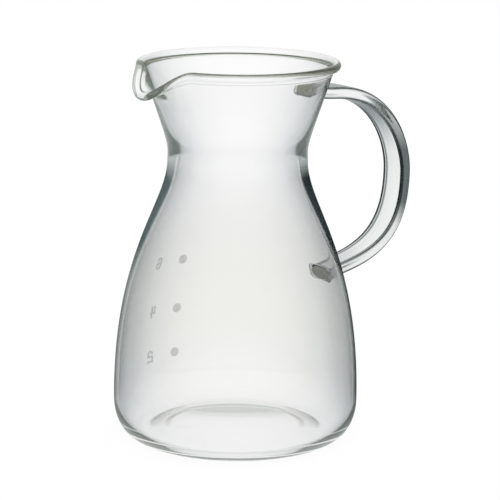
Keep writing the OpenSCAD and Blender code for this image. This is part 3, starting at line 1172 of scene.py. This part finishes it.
            # The middles of the underside and the floor are single corners, added after the turns.
            outer, inner = self.section(pull) if pull else even
            vertices += [(r * math.cos(turn), r * math.sin(turn), z) for r, z in outer[1:]]
            vertices += [self.rippled((r * math.cos(turn), r * math.sin(turn), z)) for r, z in inner[:-1]]
        count = len(vertices) // self.turn_steps
        under_mid, floor_mid = len(vertices), len(vertices) + 1
        vertices += [(0.0, 0.0, even[0][0][1]), (0.0, 0.0, even[1][-1][1])]
        faces: list[Face] = []
        for i in range(self.turn_steps):
            here, there = i * count, (i + 1) % self.turn_steps * count
            faces.append((under_mid, there, here))
            faces += [(here + j, there + j, there + j + 1, here + j + 1) for j in range(count - 1)]
            faces.append((here + count - 1, there + count - 1, floor_mid))
        return new_piece("vessel_glass", vertices, faces, self.finish.material())


@dataclass(frozen=True)
class Strap:
    """The flattened section of the handle's rod."""

    width: float = 16.0
    thickness: float = 6.2
    corner_r: float = 2.2
    corner_steps: int = 9
    width_steps: int = 8
    thickness_steps: int = 3
    # The higher it is, the closer the corners' painted dark lines keep to the middles of the corners
    corner_power: int = 4

    def side_steps(self) -> tuple[int, ...]:
        """Give the steps of the four flat sides, from the side that follows the first corner."""
        return (self.width_steps, self.thickness_steps) * 2

    def outline(self, grow: float = 0.0) -> list[Point]:
        """List the section's outline, anticlockwise.

        Args:
            grow: How far it is grown all round.

        Returns:
            The points, across the width and the thickness.
        """
        w, t = self.width / 2 + grow, self.thickness / 2 + grow
        r = self.corner_r + grow / 2
        centres = ((w - r, t - r), (r - w, t - r), (r - w, r - t), (w - r, r - t))
        points: list[Point] = []
        for quarter, (centre, steps) in enumerate(zip(centres, self.side_steps())):
            for i in range(self.corner_steps + 1):
                angle = math.radians(90 * (quarter + i / self.corner_steps))
                points.append((centre[0] + r * math.cos(angle), centre[1] + r * math.sin(angle)))
            after = centres[(quarter + 1) % 4]
            angle = math.radians(90 * (quarter + 1))
            first = points[-1]
            last = (after[0] + r * math.cos(angle), after[1] + r * math.sin(angle))
            points += [
                (first[0] + (last[0] - first[0]) * k / steps, first[1] + (last[1] - first[1]) * k / steps)
                for k in range(1, steps)
            ]
        return points

    def corner_shares(self) -> list[float]:
        """Say for each point of the outline how much it lies in a corner.

        Returns:
            Shares from 0 on a flat side to 1 in the middle of a corner.
        """
        shares: list[float] = []
        for steps in self.side_steps():
            turns = [math.sin(math.pi * i / self.corner_steps) for i in range(self.corner_steps + 1)]
            shares += [turn**self.corner_power for turn in turns] + [0.0] * (steps - 1)
        return shares


@dataclass
class BowHandle:
    """The handle: a flattened glass rod, bent to a bow and fused to the wall at its two roots."""

    vessel: Vessel
    rod_finish: DrawnBorosilicate
    weld_finish: FusedBorosilicate
    upper_seam: FusedSeam
    lower_seam: FusedSeam

    strap: Strap = Strap()
    reach: float = 94.4
    apex_h: float = 119.4
    upper_root_drop: float = 17.6
    upper_root_dip: float = 2.3
    upper_dip_len: float = 14.0
    upper_bow_angle: float = 8.0
    lower_root_h: float = 74.0
    lower_root_angle: float = 11.0
    upper_bow_share: float = 0.77
    upper_apex_share: float = 0.39
    lower_bow_share: float = 0.56
    lower_apex_share: float = 0.75

    weld_len: float = 3.4
    upper_weld_flare: float = 0.8
    lower_weld_flare: float = 1.6
    weld_flare_power: float = 1.5
    # The clouded seam fills this share of the weld's foot, and clear glass frames it
    seam_share: float = 0.8
    seat_gap: float = 0.05
    weld_gap: float = 0.05

    bow_steps: int = 90
    weld_steps: int = 10
    # A weld is swept in finer steps than it keeps, to find where it leaves the wall
    weld_sweep_steps: int = 40

    def __post_init__(self) -> None:
        """Work out the rod's middle line."""
        vessel = self.vessel
        self.upper_root = vessel.wall_at(vessel.overall_h - self.upper_root_drop, -vessel.wall_t)
        self.lower_root = vessel.wall_at(self.lower_root_h, -vessel.wall_t)
        start = (self.upper_root[0], self.upper_root[1] - self.upper_root_dip)
        upper_run, lower_run = self.reach - start[0], self.reach - self.lower_root[0]
        up, low = math.radians(self.upper_bow_angle), math.radians(self.lower_root_angle)
        out_up, out_low = self.upper_bow_share * upper_run, self.lower_bow_share * lower_run
        upper = Stretch(
            start,
            (start[0] + out_up * math.cos(up), start[1] + out_up * math.sin(up)),
            (self.reach, self.apex_h + self.upper_apex_share * (start[1] - self.apex_h)),
            (self.reach, self.apex_h),
        )
        lower = Stretch(
            (self.reach, self.apex_h),
            (self.reach, self.apex_h - self.lower_apex_share * (self.apex_h - self.lower_root[1])),
            (self.lower_root[0] + out_low * math.cos(low), self.lower_root[1] + out_low * math.sin(low)),
            self.lower_root,
        )
        self.line = [self.drawn_up(p) for p in upper.points(self.bow_steps)]
        self.line += lower.points(self.bow_steps)[1:]
        self.upper_way = headings(self.line[:2])[0]
        self.lower_way = (math.cos(low), math.sin(low))

    def drawn_up(self, point: Point) -> Point:
        """Lift a point near the upper root, where the rod's end was drawn up to the wall."""
        left = max(1 - (point[0] - self.upper_root[0]) / self.upper_dip_len, 0.0)
        return (point[0], point[1] + self.upper_root_dip * left**2)

    def ring(self, middle: Point, way: Point, grow: float = 0.0) -> list[Place]:
        """Set the strap's outline across the middle line.

        Args:
            middle: The point of the line.
            way: The line's direction there.
            grow: How far the outline is grown all round.

        Returns:
            The ring's places.
        """
        right = (way[1], -way[0])
        outline = self.strap.outline(grow)
        return [(middle[0] + t * right[0], w, middle[1] + t * right[1]) for w, t in outline]

    def crossing(self, path: Sequence[Place], wall: Sequence[Point]) -> float:
        """Find where a path that heads outward leaves a grown wall.

        Args:
            path: Places from inside the wall to outside it.
            wall: The grown wall, from the foot up.

        Returns:
            The place along the path, as a fractional index.
        """

        def outside(place: Place) -> bool:
            """Say whether a place lies outside the wall."""
            return math.hypot(place[0], place[1]) > radius_at(wall, place[2])

        i = next(k for k in range(1, len(path)) if outside(path[k]))
        low, high = float(i - 1), float(i)
        for _ in range(PATH_HALVINGS):
            middle = (low + high) / 2
            low, high = (low, middle) if outside(along(path, middle)) else (middle, high)
        return (low + high) / 2

    def trimmed(
        self, rings: Sequence[Sequence[Place]], start: float, end: float | None, steps: int
    ) -> list[tuple[Place, ...]]:
        """Trim a sweep to where it leaves the wall grown by one distance and by another.

        Args:
            rings: The sweep's rings, from inside the wall outward.
            start: How far the wall is grown where the sweep begins.
            end: How far it is grown where the sweep ends, or None where it comes back to the first wall.
            steps: How many steps the trimmed sweep has.

        Returns:
            The trimmed rings.
        """
        near = self.vessel.grown_wall(start)
        far = None if end is None else self.vessel.grown_wall(end)
        trimmed_paths = []
        for path in zip(*rings):
            first = self.crossing(path, near)
            if far is None:
                last = len(path) - 1 - self.crossing(path[::-1], near)
            else:
                last = self.crossing(path, far)
            places = [first + (last - first) * i / steps for i in range(steps + 1)]
            trimmed_paths.append([along(path, place) for place in places])
        return list(zip(*trimmed_paths))

    def build_rod(self) -> bpy.types.Object:
        """Build the rod from weld to weld.

        Returns:
            The rod, with its rounded corners named on its mesh.
        """
        rings = [self.ring(p, w) for p, w in zip(self.line, headings(self.line))]
        clear = self.seat_gap + self.weld_len + self.weld_gap
        rings = self.trimmed(rings, clear, None, len(rings) - 1)
        piece = swept_piece("handle_rod", rings, self.rod_finish.material())
        corners = piece.data.attributes.new(CORNER_SHARE, "FLOAT", "POINT")
        corners.data.foreach_set("value", self.strap.corner_shares() * len(rings))
        return piece

    def seam_ring(self, ring: Sequence[Place]) -> list[Place]:
        """Draw the ring of a weld's foot in to the oval that its seam fills.

        Args:
            ring: The ring of the weld's foot.

        Returns:
            The oval, with as many places as the ring.
        """
        middle = tuple(sum(p[axis] for p in ring) / len(ring) for axis in (0, 1, 2))
        half_w, half_h = (max(abs(p[axis] - middle[axis]) for p in ring) for axis in (1, 2))
        offs = [math.hypot((p[1] - middle[1]) / half_w, (p[2] - middle[2]) / half_h) for p in ring]
        return [along((middle, p), self.seam_share / off) for p, off in zip(ring, offs)]

    def build_weld(
        self, name: str, root: Point, way: Point, flare: float, seam: FusedSeam
    ) -> bpy.types.Object:
        """Build a weld that narrows from the wall to the rod.

        Args:
            name: The weld's name.
            root: Where the rod's middle line meets the wall's inner face.
            way: The weld's direction, away from the wall.
            flare: How much wider all round it is at the wall than the rod.
            seam: The finish of the face on the wall.

        Returns:
            The weld, dressed in its two finishes.
        """
        reach = self.vessel.wall_t + self.weld_len
        rings = []
        for i in range(self.weld_sweep_steps + 1):
            x = (reach + self.strap.thickness) * i / self.weld_sweep_steps
            grow = flare * max(1 - x / reach, 0.0) ** self.weld_flare_power
            rings.append(self.ring((root[0] + x * way[0], root[1] + x * way[1]), way, grow))
        rings = self.trimmed(rings, self.seat_gap, self.seat_gap + self.weld_len, self.weld_steps)
        piece = swept_piece(name, [self.seam_ring(rings[0]), *rings], self.weld_finish.material())
        # The face on the wall is the first of the two end faces, which are the last faces of the mesh.
        piece.data.materials.append(seam.material())
        piece.data.polygons[-2].material_index = 1
        return piece

    def build(self) -> dict[str, bpy.types.Object]:
        """Build the rod and its two welds.

        Returns:
            The pieces, by the node that each stands for.
        """
        pieces = {"handle": self.build_rod()}
        for node, root, way, flare, seam in (
            ("upper_weld", self.upper_root, self.upper_way, self.upper_weld_flare, self.upper_seam),
            ("lower_weld", self.lower_root, self.lower_way, self.lower_weld_flare, self.lower_seam),
        ):
            pieces[node] = self.build_weld(f"{node}_glass", root, way, flare, seam)
        return pieces


@dataclass
class LevelMarks:
    """Three dots and their numerals, printed in enamel on the side of the vessel."""

    finish: FiredEnamel
    nodes: tuple[str, ...] = ("dot_upper", "dot_middle", "dot_lower", "cup_numerals")

    def dress(self, made: dict[str, bpy.types.Object]) -> None:
        """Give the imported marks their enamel.

        Args:
            made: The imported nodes, by name.
        """
        material = self.finish.material()
        for name in self.nodes:
            piece = made[name]
            piece.data.materials.clear()
            piece.data.materials.append(material)
            LOG.info("dressed %s", name)


class RayKind(Enum):
    """The kinds of ray that see the white set."""

    CAMERA = "Is Camera Ray"
    GLOSSY = "Is Glossy Ray"
    TRANSMITTED = "Is Transmission Ray"


@dataclass(frozen=True)
class SoftBox:
    """A soft box over the set, in metres and watts, which lights the set but isn't seen in the glass."""

    name: str
    place: Place
    size: float
    power: float
    aim: Place = (0.0, 0.0, 0.08)

    def build(self) -> None:
        """Hang the soft box and turn it to the middle of the server."""
        lamp = bpy.data.lights.new(self.name, "AREA")
        lamp.size = self.size
        lamp.energy = self.power
        holder = bpy.data.objects.new(self.name, lamp)
        holder.location = self.place
        aim = Vector(self.aim) - Vector(self.place)
        holder.rotation_euler = aim.to_track_quat("-Z", "Y").to_euler()
        holder.visible_glossy = False
        holder.visible_transmission = False
        bpy.context.scene.collection.objects.link(holder)


@dataclass
class Studio:
    """A pale floor, a white surround and two soft boxes."""

    floor_code: str = "#F6F6F4"
    floor_r: float = 6000.0
    floor_steps: int = 96
    # How much of the seen floor is lifted to white; the rest keeps the shadow
    lift_share: float = 0.92
    room_level: float = 1.0
    lamps: tuple[SoftBox, ...] = (
        SoftBox("key_softbox", (-0.9, -0.9, 1.3), 0.9, 9.0),
        SoftBox("fill_softbox", (1.1, -0.7, 1.0), 0.7, 4.0),
    )

    def seen(self, tree: Tree) -> Source:
        """Tell the rays that see the set from those that only light it.

        Args:
            tree: The tree of the set's material.

        Returns:
            1 for a ray that sees the set, and 0 for one that only lights it.
        """
        path = add_node(tree, "ShaderNodeLightPath").outputs
        total: Source = path[RayKind.CAMERA.value]
        for kind in (RayKind.GLOSSY, RayKind.TRANSMITTED):
            sources = {0: total, 1: path[kind.value]}
            total = add_node(tree, "ShaderNodeMath", links=sources, operation="MAXIMUM")
        return total

    def build_world(self) -> None:
        """Make the surround: white where it is seen, and the room's own level where it lights."""
        world = bpy.data.worlds.new("white_surround")
        world.use_nodes = True
        tree = world.node_tree
        tree.nodes.clear()
        room = add_node(tree, "ShaderNodeBackground", {"Color": WHITE, "Strength": self.room_level})
        white = add_node(tree, "ShaderNodeBackground", {"Color": WHITE, "Strength": 1.0})
        mix = add_node(tree, "ShaderNodeMixShader", links={0: self.seen(tree), 1: room, 2: white})
        add_node(tree, "ShaderNodeOutputWorld", links={"Surface": mix})
        bpy.context.scene.world = world

    def build_floor(self) -> None:
        """Make the floor: pale card that is lifted to white where it is seen, and keeps the shadow."""
        material, tree = blank_material("pale_card_floor")
        card = add_node(tree, "ShaderNodeBsdfDiffuse", {"Color": linear(self.floor_code)})
        lift = add_node(tree, "ShaderNodeEmission", {"Color": WHITE, "Strength": 1.0})
        seen = {0: self.seen(tree)}
        share = add_node(tree, "ShaderNodeMath", {1: self.lift_share}, seen, operation="MULTIPLY")
        mix = add_node(tree, "ShaderNodeMixShader", links={0: share, 1: card, 2: lift})
        add_node(tree, "ShaderNodeOutputMaterial", links={"Surface": mix})
        turns = [math.tau * i / self.floor_steps for i in range(self.floor_steps)]
        rim = [(self.floor_r * math.cos(turn), self.floor_r * math.sin(turn), 0.0) for turn in turns]
        new_piece("floor", rim, [list(range(self.floor_steps))], material)

    def build(self) -> None:
        """Build the whole set."""
        self.build_world()
        self.build_floor()
        for lamp in self.lamps:
            lamp.build()
        LOG.info("set the studio")


@dataclass(frozen=True)
class Viewpoint:
    """The camera at the photograph's viewing angle, in millimetres and degrees."""

    azimuth: float = -124.0
    distance: float = 1118.9
    height: float = 341.9
    turn_right: float = 0.322
    pitch_down: float = 12.712
    roll: float = 0.655
    lens: float = 174.55
    sensor: float = 36.0
    clip_near: float = 50.0
    clip_far: float = 60000.0

    def build(self) -> None:
        """Make the camera and hand it to the scene."""
        lens = bpy.data.cameras.new("camera")
        lens.lens = self.lens
        lens.sensor_width = self.sensor
        lens.clip_start = self.clip_near * MM
        lens.clip_end = self.clip_far * MM
        camera = bpy.data.objects.new("camera", lens)
        azimuth = math.radians(self.azimuth)
        heading = azimuth + math.pi - math.radians(self.turn_right)
        pitch, roll = math.radians(self.pitch_down), math.radians(self.roll)
        level = math.cos(pitch)
        forward = Vector((math.cos(heading) * level, math.sin(heading) * level, -math.sin(pitch)))
        right = Vector((math.sin(heading), -math.cos(heading), 0.0))
        up = right.cross(forward)
        across = math.cos(roll) * right + math.sin(roll) * up
        above = math.cos(roll) * up - math.sin(roll) * right
        turn = Matrix((across, above, -forward)).transposed().to_4x4()
        out = (self.distance * math.cos(azimuth), self.distance * math.sin(azimuth))
        place = Vector((out[0] * MM, out[1] * MM, self.height * MM))
        camera.matrix_world = Matrix.Translation(place) @ turn
        bpy.context.scene.collection.objects.link(camera)
        bpy.context.scene.camera = camera


def stand_in(piece: bpy.types.Object, node: str) -> None:
    """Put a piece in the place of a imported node, on the one body that the server has.

    Args:
        piece: The piece.
        node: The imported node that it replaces.
    """
    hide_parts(node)
    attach(piece, "root")
    LOG.info("%s stands for %s: %d faces", piece.name, node, len(piece.data.polygons))


def main() -> None:
    """Build the server and the set."""
    logging.basicConfig(level=logging.INFO, format="%(name)s: %(message)s")
    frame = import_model()

    scene = bpy.context.scene
    scene.view_settings.view_transform = "Standard"
    scene.cycles.max_bounces = GLASS_BOUNCES
    scene.cycles.transmission_bounces = GLASS_BOUNCES
    scene.cycles.glossy_bounces = MIRROR_BOUNCES
    scene.cycles.transparent_max_bounces = CLEAR_BOUNCES

    Viewpoint().build()
    Studio().build()

    vessel = Vessel(BlownBorosilicate("blown_borosilicate"))
    stand_in(vessel.build(), "vessel")
    handle = BowHandle(
        vessel,
        DrawnBorosilicate("drawn_borosilicate_rod"),
        FusedBorosilicate("fused_borosilicate"),
        FusedSeam("upper_fused_seam"),
        # The lower seam is a lighter copy of the same seam: painted light, as the lower weld looks brighter
        FusedSeam("lower_fused_seam_painted_lighter", cloud_code="#FCFDF0", bubble_code="#FFFFFF", shade_code="#D8DAC8"),
    )
    for node, piece in handle.build().items():
        stand_in(piece, node)
    LevelMarks(FiredEnamel()).dress(frame["nodes"])


if __name__ == "__main__":
    main()
